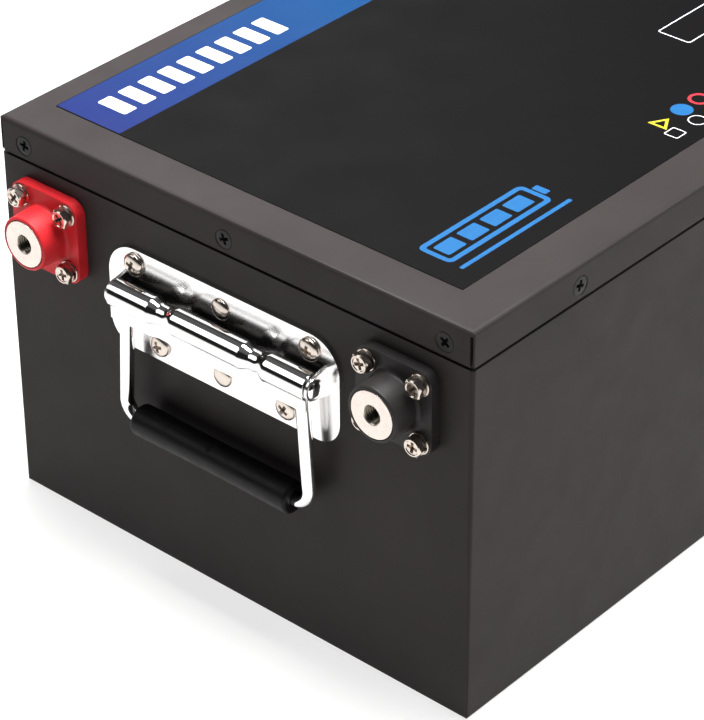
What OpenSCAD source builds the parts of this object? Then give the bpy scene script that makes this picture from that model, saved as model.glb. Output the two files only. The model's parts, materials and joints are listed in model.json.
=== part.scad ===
// Steel-cased lithium battery pack with front posts and a sprung folding handle at each end.
// +Z is up, the post end faces -Y, and the origin is the centre of the case's bottom face.

/* [Case] */
// Outer width of the case tub
case_w = 251.6; // [249:0.2:262]
// Outer length of the case tub
case_l = 400; // [396:1:440]
// Height from the base to the top of the lid
case_h = 184; // [183:1:196]
// Thickness of the steel sheet
sheet_t = 1.2; // [1:0.1:1.5]
// Outside radius of the folded edges
fold_r = 1.6; // [1.5:0.1:2.5]

/* [Lid] */
// Height of the skirt that hangs over the tub
skirt_h = 16; // [15:0.5:20]
// Outside radius of the lid's folded edges
lid_fold_r = 2.4; // [1.6:0.1:3]
// Distance of the lid screws below the top of the lid
lid_screw_drop = 10; // [9:0.5:11]
// Spacing of the lid screws on the short sides
lid_pitch_x = 112; // [100:1:115]
// Spacing of the lid screws on the long sides
lid_pitch_y = 136.5; // [120:0.5:150]
// Diameter of the countersunk screw heads
lid_head_d = 9.2; // [8:0.1:10]

/* [Label film] */
// Margin between the film and the lid edge at the front
film_front = 20; // [15:1:30]
// Margin at the left edge
film_left = 13; // [10:1:25]
// Margin at the right edge
film_right = 22; // [15:1:30]
// Thickness of the film
film_t = 0.3; // [0.2:0.1:0.5]

/* [Terminals] */
// Half the distance between the two posts
post_x = 94.1; // [91:0.1:95]
// Sideways offset of the pair of posts from the middle of the end face
post_shift = -2.9; // [-3:0.1:0]
// Height of the posts above the base
post_z = 141; // [138:0.5:142]
// Side of the square insulator flange
flange_w = 38; // [36:0.5:38]
// Thickness of the flange
flange_t = 5; // [4:0.5:6]
// Distance from the case wall to the face of the post
post_reach = 17.4; // [16:0.1:22]
// Diameter of the insulator's nose
nose_d = 24; // [23.5:0.5:25]
// Diameter of the post's contact face
post_d = 20.8; // [18:0.1:22]
// Spacing of the flange screws
flange_pitch = 26.4; // [26:0.1:28]

/* [Handle] */
// Width of the base plate
plate_w = 125; // [123:1:130]
// Height of the base plate
plate_h = 48; // [46:0.5:50]
// Height of the middle of the base plate above the base
plate_z = 126.3; // [126:0.1:128]
// Sideways offset of the base plate from the middle of the end face
plate_shift = -1.5; // [-1.5:0.1:0]
// Distance of the hinge pin from the case wall
pin_reach = 8.6; // [8.6:0.1:9]
// Height of the hinge pin above the base
pin_z = 132.1; // [130:0.1:133]
// Diameter of the bail rod
rod_d = 6; // [5:0.5:6]
// Diameter of the rubber grip
grip_d = 14; // [12:0.5:15]
// Length of the rubber grip
grip_l = 86; // [80:1:88]
// Height of the grip above the base
grip_z = 74.2; // [68:0.2:76]
// Outward swing of the two bails, in degrees
bail_angle = 0; // [0:1:90]

/* [Cells] */
// Thickness of one cell
cell_t = 72; // [68:0.5:72]
// Width of one cell, which stands upright in the case
cell_w = 174; // [170:0.5:174]
// Length of one cell without its posts
cell_l = 200; // [190:1:200]

/* [Hidden] */
$fn = 48;
gap = 0.2;                                  // play between the lid skirt and the tub
joggle = 1.2;                               // how far the tub's upper edge is pressed inwards
proud = gap + sheet_t - joggle;             // how far the lid stands out from the tub's walls
lid_w = case_w + 2 * proud;
lid_l = case_l + 2 * proud;
joggle_z = case_h - skirt_h - 1.5;          // height where the tub's upper edge starts
rim_z = case_h - sheet_t - 1;               // top of the tub's rim, below the gasket
gasket_t = 1;
rim_w = 12;                                 // width of the tub's inward rim
wall_in = case_l / 2 - sheet_t;             // inner face of the end walls
side_in = case_w / 2 - sheet_t;             // inner face of the long walls
lid_screw_z = case_h - lid_screw_drop;
m5_r = 2.5;
m4_r = 2;
cut = 0.5;                                  // how far a cutting shape runs past a face
lid_screw_l = 9;
nut_t = 4;
nut_r = 5;
head_drop = lid_head_d / 2 - m5_r;          // depth of a 90 degree countersink
flange_r = 6;
post_stud_r = 8;
post_hole_r = 4;
post_hole_depth = 16;
stud_reach = 22;                            // length of the post's stud inside the wall
washer_t = 3;
lug_t = 2.5;
plate_t = 1.5;
plate_row_up = 143.4;                       // height of the upper row of handle screws
plate_row_low = 110.1;
rivet_z = [109.9, 141.8];
row_up_x = 47.5;
row_low_x = 34.6;
backing_t = 2;
pin_r = 3;
pin_play = 0.05;                            // radial running clearance of the hinge
barrel_half = 53;
bulge_r = 6.2;
neck_r = 4.65;
neck_x = 25;
neck_flat = 2;                              // half length of a neck's narrow part
neck_taper = 4.5;
leaf_t = 1.2;
ear_t = 1.6;
ear_x = barrel_half + 0.3;
leaf_low_z = 121.8;
rod_top_x = 47.6;
rod_low_x = 50.3;
rod_bend = 7;
rod_reach = 8.3;
pad_t = 3;
side_pad_t = 8;                             // foam between the left wall and the cells
end_pad_t = 9;                              // foam between the far wall and the cells
card_t = 1;
end_plate_t = 4;
stack_back = wall_in - end_pad_t;
cell_pitch = cell_t + card_t;
stack_front = stack_back - 2 * end_plate_t - 4 * cell_pitch - card_t;
cell_z0 = sheet_t + pad_t;
cell_x0 = -side_in + side_pad_t;
cell_x1 = cell_x0 + cell_l;
cell_post_z = 61;                           // offset of a cell's posts from its middle
cell_mid_z = cell_z0 + cell_w / 2;
post_len = 9;
bus_t = 2;
strap_t = 0.5;
board_y = stack_front - 8;
board_t = 1.6;
board_w = 180;
board_h = 120;
board_z = 88;
cable_r = 4.5;
crimp = 1;                                  // how deep a cable sits in its lug
lug_tongue = 26;

black = [0.17, 0.16, 0.15];
red = [0.78, 0.13, 0.14];
steel = [0.82, 0.82, 0.80];
nickel = [0.86, 0.80, 0.72];
rubber = [0.09, 0.09, 0.09];
foam = [0.25, 0.25, 0.27];
copper = [0.78, 0.45, 0.28];

// ---- small helpers -------------------------------------------------------------------------

// A sheet outline with rounded corners, centred on the origin.
module rounded_square(w, h, r) {
    for (x = [-1, 1], y = [-1, 1]) translate([x * (w / 2 - r), y * (h / 2 - r)]) circle(r);
    square([w - 2 * r, h], center = true);
    square([w, h - 2 * r], center = true);
}

// A box standing on z = 0 whose edges are folded: two crossing profiles and a rounded plan.
module folded_box(w, l, h, r_plan, r_top, r_base) {
    intersection() {
        linear_extrude(h) rounded_square(w, l, r_plan);
        rotate([90, 0, 0]) translate([0, 0, -l / 2]) linear_extrude(l) box_profile(w, h, r_top, r_base);
        rotate([90, 0, 90]) translate([0, 0, -w / 2]) linear_extrude(w) box_profile(l, h, r_top, r_base);
    }
}

// Upright profile of a folded box with its own radii at the top and at the base.
module box_profile(w, h, r_top, r_base) {
    translate([-w / 2 + r_base, 0]) square([w - 2 * r_base, h - r_top]);
    translate([-w / 2 + r_top, h / 2]) square([w - 2 * r_top, h / 2]);
    translate([-w / 2, r_base]) square([w, h - r_base - r_top]);
    for (s = [-1, 1]) {
        translate([s * (w / 2 - r_top), h - r_top]) circle(r_top);
        translate([s * (w / 2 - r_base), r_base]) circle(r_base);
    }
}

// Puts a shape drawn on the plane y = 0 on the post end, or with side = 1 on the far end.
module on_end(side = -1) {
    if (side < 0) translate([0, -case_l / 2, 0]) children();
    else rotate([0, 0, 180]) translate([0, -case_l / 2, 0]) children();
}

// A cylinder along Y. It starts at y = y0 and runs towards -Y for a length l.
module rod_y(r, y0, l) {
    translate([0, y0, 0]) rotate([90, 0, 0]) cylinder(r = r, h = l);
}

// A hexagonal prism along Y, measured across its flats.
module hex_y(flats, y0, l) {
    translate([0, y0, 0]) rotate([90, 30, 0]) cylinder(d = flats / cos(30), h = l, $fn = 6);
}

// The cross recess of a screw whose face is at y = y0 and whose head points to -Y.
module recess_y(y0, span, depth) {
    translate([-span / 2, y0 - cut, -span / 8]) cube([span, depth + cut, span / 4]);
    translate([-span / 8, y0 - cut, -span / 2]) cube([span / 4, depth + cut, span]);
}

// An eight-sided rod through a list of points, with a knuckle at each turn.
module route(points, r) {
    $fn = 8;
    for (i = [0 : len(points) - 2]) {
        step = points[i + 1] - points[i];
        tilt = acos(step.z / norm(step));
        translate(points[i]) rotate([0, tilt, atan2(step.y, step.x)]) cylinder(r = r, h = norm(step));
    }
    for (i = [1 : len(points) - 2]) translate(points[i]) sphere(r);
}

// Places of the lid screws. The children point to -Y, with the tub's outer wall at y = 0.
module at_lid_screws(side) {
    if (side == "front" || side == "back") {
        on_end(side == "front" ? -1 : 1) for (i = [-1 : 1]) {
            translate([i * lid_pitch_x, 0, lid_screw_z]) children();
        }
    } else {
        turn = side == "right" ? 90 : -90;
        rotate([0, 0, turn]) translate([0, -case_w / 2, 0]) for (i = [-1 : 1]) {
            translate([i * lid_pitch_y, 0, lid_screw_z]) children();
        }
    }
}

module at_all_lid_screws() {
    for (side = ["front", "back", "left", "right"]) at_lid_screws(side) children();
}

// Sideways place of a post: s = -1 is the positive one, s = 1 the negative one.
function post_at(s) = post_shift + s * post_x;

// Places of both posts, and of the four flange screws round each.
module at_posts() {
    for (s = [-1, 1]) on_end() translate([post_at(s), 0, post_z]) children();
}

module at_flange_screws() {
    at_posts() for (x = [-1, 1], z = [-1, 1]) {
        translate([x * flange_pitch / 2, 0, z * flange_pitch / 2]) children();
    }
}

// Places of the four screws and of the two rivets of one handle.
module at_handle_screws(side) {
    on_end(side) {
        for (s = [-1, 1]) translate([plate_shift + s * row_up_x, 0, plate_row_up]) children();
        for (s = [-1, 1]) translate([plate_shift + s * row_low_x, 0, plate_row_low]) children();
    }
}

module at_handle_rivets(side) {
    on_end(side) for (z = rivet_z) translate([plate_shift, 0, z]) children();
}

// Swings a bail and its leaf about the hinge pin.
module swing(side) {
    on_end(side) translate([0, -pin_reach, pin_z]) rotate([-bail_angle, 0, 0])
        translate([0, pin_reach, -pin_z]) children();
}

// ---- case ----------------------------------------------------------------------------------

module lid_countersink() {
    translate([0, -proud - 0.01, 0]) rotate([-90, 0, 0])
        cylinder(r1 = lid_head_d / 2 + 0.05, r2 = m5_r + 0.05, h = head_drop);
    translate([0, -proud, 0]) rotate([-90, 0, 0]) cylinder(r = m5_r + 0.05, h = 6);
}

module case_tub() {
    color(black) difference() {
        union() {
            folded_box(case_w, case_l, joggle_z, fold_r, 0.1, fold_r);
            translate([0, 0, sheet_t]) folded_box(case_w - 2 * joggle, case_l - 2 * joggle,
                rim_z - sheet_t, fold_r, 0.3, 0.1);
        }
        translate([0, 0, sheet_t]) folded_box(2 * side_in, 2 * wall_in, joggle_z - 2 * sheet_t,
            fold_r - sheet_t, 0.1, fold_r - sheet_t);
        translate([0, 0, sheet_t + 1]) folded_box(2 * (side_in - joggle), 2 * (wall_in - joggle),
            rim_z - 2 * sheet_t - 1, fold_r - sheet_t, 0.1, 0.1);
        translate([0, 0, rim_z - sheet_t - cut]) linear_extrude(sheet_t + 2 * cut)
            rounded_square(2 * (side_in - rim_w), 2 * (wall_in - rim_w), 6);
        at_all_lid_screws() lid_countersink();
        at_posts() rod_y(nose_d / 2 + 0.2, sheet_t + cut, sheet_t + 2 * cut);
        at_flange_screws() rod_y(m5_r + 0.15, sheet_t + cut, sheet_t + 2 * cut);
        for (side = [-1, 1]) {
            at_handle_screws(side) rod_y(m5_r + 0.1, sheet_t + cut, sheet_t + 2 * cut);
            at_handle_rivets(side) rod_y(m4_r, sheet_t + cut, sheet_t + 2 * cut);
        }
    }
}

module lid() {
    color(black) difference() {
        translate([0, 0, case_h - skirt_h]) folded_box(lid_w, lid_l, skirt_h, 1.5, lid_fold_r, 0.2);
        translate([0, 0, case_h - skirt_h - cut]) folded_box(lid_w - 2 * sheet_t, lid_l - 2 * sheet_t,
            skirt_h + cut - sheet_t, 0.4, lid_fold_r - sheet_t, 0.2);
        lid_corner_slits();
        at_all_lid_screws() lid_countersink();
    }
}

// The skirt's four corners are open: each is a slit where two folded sides meet.
module lid_corner_slits() {
    slit = 0.5;
    for (x = [-1, 1], y = [-1, 1]) {
        translate([x * (lid_w / 2 - sheet_t), y * lid_l / 2, case_h - skirt_h / 2 - lid_fold_r])
            cube([slit, 2 * sheet_t + 0.2, skirt_h], center = true);
    }
}

module lid_gasket() {
    color(foam) translate([0, 0, rim_z]) linear_extrude(gasket_t) difference() {
        rounded_square(2 * side_in - 5, 2 * wall_in - 5, 3);
        rounded_square(2 * (side_in - rim_w) + 2, 2 * (wall_in - rim_w) + 2, 6);
    }
}

module countersunk_screw() {
    difference() {
        union() {
            translate([0, -proud, 0]) rotate([-90, 0, 0])
                cylinder(r1 = lid_head_d / 2, r2 = m5_r, h = head_drop);
            translate([0, -proud, 0]) rotate([-90, 0, 0]) cylinder(r = m5_r, h = lid_screw_l);
        }
        recess_y(-proud, 4.6, 1.9);
    }
}

module lid_screws(side) {
    color(black) at_lid_screws(side) countersunk_screw();
}

module lid_nuts() {
    y0 = joggle + sheet_t + nut_t;
    color(steel) at_all_lid_screws() difference() {
        rod_y(nut_r, y0, nut_t);
        rod_y(m5_r, y0 + cut, nut_t + 2 * cut);
    }
}

module label_film() {
    w = lid_w - film_left - film_right;
    l = lid_l - 2 * film_front;
    color([0.19, 0.18, 0.19]) translate([(film_left - film_right) / 2, 0, case_h])
        linear_extrude(film_t) rounded_square(w, l, 1.5);
}

// ---- terminals -----------------------------------------------------------------------------

// Insulator: flange, tapered nose with a foot fillet, and a spigot through the case wall.
module insulator(s) {
    foot_r = 1;
    taper = 0.4;
    on_end() translate([post_at(s), 0, post_z]) difference() {
        union() {
            rotate([90, 0, 0]) linear_extrude(flange_t) rounded_square(flange_w, flange_w, flange_r);
            rod_y(nose_d / 2, sheet_t, sheet_t);
            translate([0, -flange_t, 0]) rotate([90, 0, 0]) rotate_extrude() nose_profile(foot_r, taper);
        }
        rod_y(post_d / 2 + 0.05, -flange_t, post_reach);
        rod_y(post_stud_r + 0.05, sheet_t + cut, flange_t + sheet_t + 2 * cut);
        for (x = [-1, 1], z = [-1, 1]) {
            translate([x * flange_pitch / 2, 0, z * flange_pitch / 2])
                rod_y(m5_r + 0.15, cut, flange_t + 2 * cut);
        }
    }
}

// Half section of the nose, from the flange face to the rim.
module nose_profile(foot_r, taper) {
    h = post_reach - flange_t;
    r = nose_d / 2;
    polygon(concat(
        [[0, 0], [r + taper + foot_r, 0]],
        [for (a = [10 : 10 : 80]) [r + taper + foot_r * (1 - sin(a)), foot_r * (1 - cos(a))]],
        [[r + taper, foot_r], [r, h - 0.8], [r - 0.8, h], [0, h]]
    ));
}

// Post: contact face with an M8 hole, shoulder, and a stud through the wall.
module post(s) {
    face = -post_reach - 0.2;
    color(nickel) on_end() translate([post_at(s), 0, post_z]) difference() {
        union() {
            rod_y(post_d / 2, -flange_t, post_reach + 0.2 - flange_t);
            rod_y(post_stud_r, stud_reach, stud_reach + flange_t);
        }
        rod_y(post_hole_r, face + post_hole_depth, post_hole_depth + cut);
        translate([0, face - 0.01, 0]) rotate([-90, 0, 0])
            cylinder(r1 = post_hole_r + 0.9, r2 = post_hole_r, h = 0.9);
    }
}

terminal_flat_t = 0.8;
terminal_spring_t = 1.1;
terminal_head_h = 2.9;

module terminal_screws() {
    y0 = -flange_t - terminal_flat_t - terminal_spring_t;
    color(nickel) at_flange_screws() difference() {
        union() {
            hex_y(7.8, y0, terminal_head_h);
            rod_y(m5_r, sheet_t + nut_t, sheet_t + nut_t - y0);
        }
        recess_y(y0 - terminal_head_h, 4.4, 1.7);
    }
}

// Split lock washers. The slit makes each one an open ring.
module terminal_spring_washers() {
    y0 = -flange_t - terminal_flat_t;
    color(nickel) at_flange_screws() difference() {
        rod_y(4.2, y0, terminal_spring_t);
        rod_y(m5_r + 0.15, y0 + cut, terminal_spring_t + 2 * cut);
        rotate([0, -25, 0]) translate([-5, y0 - terminal_spring_t - cut, -0.4]) cube([5, 3, 0.8]);
    }
}

module terminal_flat_washers() {
    color(nickel) at_flange_screws() difference() {
        rod_y(4.8, -flange_t, terminal_flat_t);
        rod_y(m5_r + 0.15, -flange_t + cut, terminal_flat_t + 2 * cut);
    }
}

module terminal_nuts() {
    color(steel) at_flange_screws() difference() {
        rod_y(4.6, sheet_t + nut_t, nut_t);
        rod_y(m5_r, sheet_t + nut_t + cut, nut_t + 2 * cut);
    }
}

module post_inner_washers() {
    color(rubber) at_posts() difference() {
        rod_y(13.6, sheet_t + washer_t, washer_t);
        rod_y(post_stud_r + 0.1, sheet_t + washer_t + cut, washer_t + 2 * cut);
    }
}

module post_inner_nuts() {
    y0 = sheet_t + washer_t + lug_t;
    color(steel) at_posts() difference() {
        hex_y(24, y0 + 8, 8);
        rod_y(post_stud_r + 0.05, y0 + 8 + cut, 8 + 2 * cut);
    }
}

// ---- handle --------------------------------------------------------------------------------

// Base plate of a handle. The two ears that hold the hinge pin are folded out of it.
module handle_plate(side) {
    color(steel) on_end(side) difference() {
        union() {
            translate([plate_shift, 0, plate_z]) rotate([90, 0, 0]) linear_extrude(plate_t) plate_outline();
            for (s = [-1, 1]) translate([s * (ear_x + ear_t / 2), 0, 0]) ear();
        }
        translate([-plate_w, -pin_reach, pin_z]) rotate([0, 90, 0]) cylinder(r = pin_r, h = 2 * plate_w);
        for (s = [-1, 1]) {
            translate([plate_shift + s * row_up_x, 0, plate_row_up])
                rod_y(m5_r + 0.1, cut, plate_t + 2 * cut);
            translate([plate_shift + s * row_low_x, 0, plate_row_low])
                rod_y(m5_r + 0.1, cut, plate_t + 2 * cut);
        }
        for (z = rivet_z) translate([plate_shift, 0, z]) rod_y(m4_r, cut, plate_t + 2 * cut);
    }
}

module plate_outline() {
    up_r = 15;
    low_r = 12;
    for (s = [-1, 1]) {
        translate([s * (plate_w / 2 - up_r), plate_h / 2 - up_r]) circle(up_r);
        translate([s * (plate_w / 2 - low_r), -plate_h / 2 + low_r]) circle(low_r);
    }
    square([plate_w - 2 * up_r, plate_h], center = true);
    translate([-plate_w / 2, -plate_h / 2 + low_r]) square([plate_w, plate_h - up_r - low_r]);
    translate([-plate_w / 2 + low_r, -plate_h / 2]) square([plate_w - 2 * low_r, plate_h / 2]);
}

// One ear, in the plane x = 0: a round end about the pin with a wider root on the plate.
module ear() {
    rotate([90, 0, 90]) translate([0, 0, -ear_t / 2]) linear_extrude(ear_t) {
        translate([-pin_reach, pin_z]) circle(5.2);
        polygon([[-1, pin_z - 7], [-pin_reach + 1, pin_z - 5], [-pin_reach + 1, pin_z + 5], [-1, pin_z + 7]]);
    }
}

// The hinge pin is one rod with a riveted head at each end.
module hinge_pin(side) {
    half = ear_x + ear_t;
    color(steel) on_end(side) translate([0, -pin_reach, pin_z]) rotate([0, 90, 0]) {
        translate([0, 0, -half]) cylinder(r = pin_r, h = 2 * half);
        for (s = [0, 1]) mirror([0, 0, s]) translate([0, 0, half]) rotate_extrude()
            polygon([[0, 0], [4.2, 0], [3.6, 0.9], [2.2, 1.4], [0, 1.5]]);
    }
}

// Torsion springs round the pin: one row of close turns in each wide part of the barrel.
module hinge_springs(side) {
    wire = 1.1;
    coil_r = 3.85;
    rows = [[-47, 11], [-11.2, 18], [34, 11]];
    color([0.55, 0.55, 0.57]) on_end(side) translate([0, -pin_reach, pin_z]) rotate([0, 90, 0])
        for (row = rows) translate([0, 0, row[0]]) rotate_extrude() for (i = [0 : row[1]]) {
            translate([coil_r, i * wire]) circle(d = wire + 0.1, $fn = 16);
        }
}

// Radius of the rolled barrel at a distance x from its middle.
function barrel_r(x, grow = 0) =
    let (d = abs(abs(x) - neck_x))
    let (t = min(1, max(0, (d - neck_flat) / neck_taper)))
    neck_r + grow + (bulge_r - neck_r) * (3 * t * t - 2 * t * t * t);

// Stations along the barrel: its ends, and steps through both tapers of each neck.
function barrel_stations() =
    let (k = neck_flat + neck_taper)
    concat([-barrel_half], [for (c = [-neck_x, neck_x], i = [-6 : 6]) c + i * k / 6], [barrel_half]);

// Rolled leaf: a barrel with wide parts and two necks, and a flange hanging in front of the bail.
module hinge_leaf(side) {
    bore = pin_r + pin_play;
    room = bulge_r - leaf_t;
    color(steel) swing(side) {
        translate([0, -pin_reach, pin_z]) rotate([0, 90, 0]) difference() {
            rotate_extrude() polygon(concat([[0, -barrel_half]],
                [for (x = barrel_stations()) [barrel_r(x), x]], [[0, barrel_half]]));
            translate([0, 0, -barrel_half - cut]) cylinder(r = bore, h = 2 * barrel_half + 2 * cut);
            for (z = [[-barrel_half - cut, -neck_x - 7], [-neck_x + 7, neck_x - 7],
                      [neck_x + 7, barrel_half + cut]])
                translate([0, 0, z[0]]) cylinder(r = room, h = z[1] - z[0]);
        }
        translate([0, 0, leaf_low_z]) linear_extrude(pin_z - leaf_low_z - 3.7) leaf_strip();
    }
}

// Plan of the flange: a strip that waves in and out with the barrel.
module leaf_strip() {
    front = rod_reach + rod_d / 2 + leaf_t;
    stations = barrel_stations();
    last = len(stations) - 1;
    polygon(concat(
        [for (i = [0 : last]) [stations[i], -front + 0.8 * (bulge_r - barrel_r(stations[i]))]],
        [for (i = [last : -1 : 0]) [stations[i], -front + leaf_t + 0.8 * (bulge_r - barrel_r(stations[i]))]]
    ));
}

// Bail: two legs that spread a little, two bends, and a bar through the grip.
module bail_rod(side) {
    r = rod_d / 2;
    top_z = pin_z - bulge_r;
    lean = atan((rod_low_x - rod_top_x) / (top_z - grip_z - rod_bend));
    leg = (top_z - grip_z - rod_bend) / cos(lean);
    color(steel) swing(side) translate([0, -rod_reach, 0]) {
        for (s = [0, 1]) mirror([s, 0, 0]) {
            translate([rod_low_x, 0, grip_z + rod_bend]) rotate([0, -lean, 0]) cylinder(r = r, h = leg);
            translate([rod_low_x, 0, grip_z + rod_bend]) sphere(r);
            translate([rod_low_x - rod_bend, 0, grip_z + rod_bend]) rotate([90, 0, 0]) rotate([0, 0, -90])
                rotate_extrude(angle = 90) translate([rod_bend, 0]) circle(r);
        }
        translate([-rod_low_x + rod_bend, 0, grip_z]) rotate([0, 90, 0])
            cylinder(r = r, h = 2 * (rod_low_x - rod_bend));
    }
}

module grip(side) {
    color(rubber) swing(side) translate([0, -rod_reach, grip_z]) rotate([0, 90, 0]) rotate_extrude() {
        difference() {
            translate([0, -grip_l / 2]) square([grip_d / 2, grip_l]);
            translate([0, -grip_l]) square([rod_d / 2, 2 * grip_l]);
            for (s = [0, 1]) mirror([0, s]) translate([grip_d / 2 - 1.2, grip_l / 2 - 1.2]) difference() {
                square(2);
                circle(1.2);
            }
        }
    }
}

// Domed screw heads with a cross recess, on the base plate.
module handle_screws(side) {
    head_h = 2.6;
    color(nickel) at_handle_screws(side) difference() {
        union() {
            translate([0, -plate_t, 0]) rotate([90, 0, 0]) rotate_extrude()
                polygon([[0, 0], [5.1, 0], [5.1, 0.8], [4.6, 1.6], [3.4, 2.2], [1.8, head_h], [0, head_h]]);
            rod_y(m5_r, sheet_t + backing_t + nut_t + 2, sheet_t + backing_t + nut_t + 2 + plate_t);
        }
        recess_y(-plate_t - head_h, 4.8, 1.8);
    }
}

module handle_rivets(side) {
    tail = sheet_t + backing_t;
    color(nickel) at_handle_rivets(side) {
        translate([0, -plate_t, 0]) rotate([90, 0, 0]) rotate_extrude()
            polygon([[0, 0], [4.7, 0], [4.3, 0.8], [3.2, 1.5], [1.7, 1.9], [0, 2]]);
        rod_y(m4_r, tail, tail + plate_t);
        rod_y(3.4, tail + 1.4, 1.4);
    }
}

// Steel plate that spreads the handle's load behind the case wall.
module handle_backing(side) {
    color(steel) difference() {
        on_end(side) translate([plate_shift, sheet_t + backing_t, plate_z]) rotate([90, 0, 0])
            linear_extrude(backing_t) rounded_square(112, 44, 4);
        at_handle_screws(side) rod_y(m5_r + 0.1, 8, 10);
        at_handle_rivets(side) rod_y(m4_r, 8, 10);
    }
}

module handle_nuts() {
    color(steel) for (side = [-1, 1]) at_handle_screws(side) difference() {
        hex_y(8, sheet_t + backing_t + nut_t, nut_t);
        rod_y(m5_r, 8 + sheet_t + backing_t, 12);
    }
}

// ---- inside --------------------------------------------------------------------------------

module base_pad() {
    color(foam) translate([cell_x0, stack_front, sheet_t]) cube([cell_l, stack_back - stack_front, pad_t]);
}

module top_pad() {
    z0 = cell_z0 + cell_w + strap_t;
    room = 2 * (side_in - rim_w) - 4;
    color(foam) translate([-room / 2, stack_front, z0])
        cube([room, wall_in - rim_w - 2 - stack_front, case_h - sheet_t - z0 - 0.2]);
}

// Foam at the left side and at the far end of the cell stack.
module side_pads() {
    color(foam) {
        translate([-side_in, stack_front, cell_z0])
            cube([side_pad_t - 0.1, stack_back - stack_front, cell_w - 16]);
        translate([cell_x0, stack_back + 0.1, cell_z0]) cube([30, end_pad_t - 0.1, 90]);
        translate([cell_x1 - 30, stack_back + 0.1, cell_z0]) cube([30, end_pad_t - 0.1, 90]);
    }
}

function cell_y(i) = stack_front + end_plate_t + card_t + (i - 1) * cell_pitch;

// Prismatic can with rounded edges. Its posts point to +X.
module cell(i) {
    color([0.25, 0.42, 0.66]) translate([cell_x0, cell_y(i) + cell_t / 2, cell_mid_z]) rotate([0, 90, 0])
        linear_extrude(cell_l) rounded_square(cell_w, cell_t, 3);
}

module at_cell_posts() {
    for (i = [1 : 4], s = [-1, 1]) {
        translate([cell_x1, cell_y(i) + cell_t / 2, cell_mid_z + s * cell_post_z])
            rotate([0, 90, 0]) children();
    }
}

module cell_cards() {
    color([0.72, 0.75, 0.45]) for (i = [0 : 4]) {
        translate([cell_x0, stack_front + end_plate_t + i * cell_pitch, cell_z0])
            cube([cell_l, card_t, cell_w]);
    }
}

module cell_posts() {
    color([0.8, 0.8, 0.8]) at_cell_posts() {
        cylinder(r = 9, h = 3);
        cylinder(r = 3, h = post_len + 2 * lug_t);
    }
}

// Three bars put the four cells in series, in turn at the bottom and at the top.
module busbars() {
    color(copper) for (i = [1 : 3]) {
        s = i % 2 == 1 ? -1 : 1;
        z = cell_mid_z + s * cell_post_z;
        translate([cell_x1 + 3, cell_y(i) + cell_t / 2 - 12, z - 12]) difference() {
            cube([bus_t, cell_pitch + 24, 24]);
            for (y = [12, 12 + cell_pitch]) translate([-cut, y, 12]) rotate([0, 90, 0])
                cylinder(r = 3.2, h = bus_t + 2 * cut);
        }
    }
}

module busbar_nuts() {
    color(steel) at_cell_posts() translate([0, 0, 3 + lug_t]) difference() {
        cylinder(d = 10 / cos(30), h = 5, $fn = 6);
        translate([0, 0, -cut]) cylinder(r = 3, h = 5 + 2 * cut);
    }
}

module busbar_cover() {
    color([0.86, 0.86, 0.8]) translate([cell_x1 + 20, stack_front + 6, cell_z0])
        cube([1.5, stack_back - stack_front - 12, cell_w - 8]);
}

module end_plates() {
    color([0.78, 0.79, 0.8]) for (y = [stack_front, stack_back - end_plate_t]) {
        translate([cell_x0, y, cell_z0]) cube([cell_l, end_plate_t, cell_w]);
    }
}

// Two steel bands round the end plates and the cells.
module straps() {
    l = stack_back - stack_front;
    color([0.5, 0.5, 0.52]) for (x = [cell_x0 + 45, cell_x1 - 65]) {
        translate([x, stack_front - strap_t, cell_z0]) difference() {
            cube([16, l + 2 * strap_t, cell_w + strap_t]);
            translate([-cut, strap_t, -cut]) cube([17, l, cell_w + cut]);
        }
    }
}

module bms_board() {
    color([0.07, 0.32, 0.16])
    translate([-board_w / 2 - 10, board_y - board_t, board_z - board_h / 2]) difference() {
        cube([board_w, board_t, board_h]);
        for (x = [6, board_w - 6], z = [6, board_h - 6])
            translate([x, board_t + cut, z]) rod_y(1.6, 0, board_t + 2 * cut);
    }
}

module at_bms_corners() {
    for (x = [6, board_w - 6], z = [6, board_h - 6]) {
        translate([-board_w / 2 - 10 + x, board_y, board_z - board_h / 2 + z]) children();
    }
}

module bms_standoffs() {
    color([0.85, 0.75, 0.4]) at_bms_corners() {
        rod_y(3, stack_front - board_y, stack_front - board_y);
        rod_y(1.5, 0, board_t);
        rod_y(2.8, -board_t, 2);
    }
}

// Power transistors in two rows, shunts, a heat sink and the main connectors of the board.
module bms_components() {
    x0 = -board_w / 2 - 10;
    z0 = board_z - board_h / 2;
    y = board_y - board_t;
    color([0.12, 0.12, 0.13]) {
        for (i = [0 : 7], j = [0, 1])
            translate([x0 + 18 + i * 14, y - 4.5, z0 + 30 + j * 46]) cube([10, 4.5, 15]);
        translate([x0 + 140, y - 9, z0 + 20]) cube([26, 9, 12]);
        translate([x0 + 140, y - 6, z0 + 46]) cube([12, 6, 12]);
    }
    color([0.75, 0.76, 0.78]) {
        translate([x0 + 16, y - 16, z0 + 52]) cube([114, 12, 18]);
        translate([x0 + 16, y - 4, z0 + 56]) cube([114, 4, 10]);
    }
}

// A flat lug lying on the plane y = y0: a ring round the origin and a tongue towards -Z.
module ring_lug_y(y0, hole) {
    difference() {
        union() {
            rod_y(13, y0, lug_t);
            translate([-7, y0 - lug_t, -lug_tongue]) cube([14, lug_t, lug_tongue]);
        }
        rod_y(hole, y0 + cut, lug_t + 2 * cut);
    }
}

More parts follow.
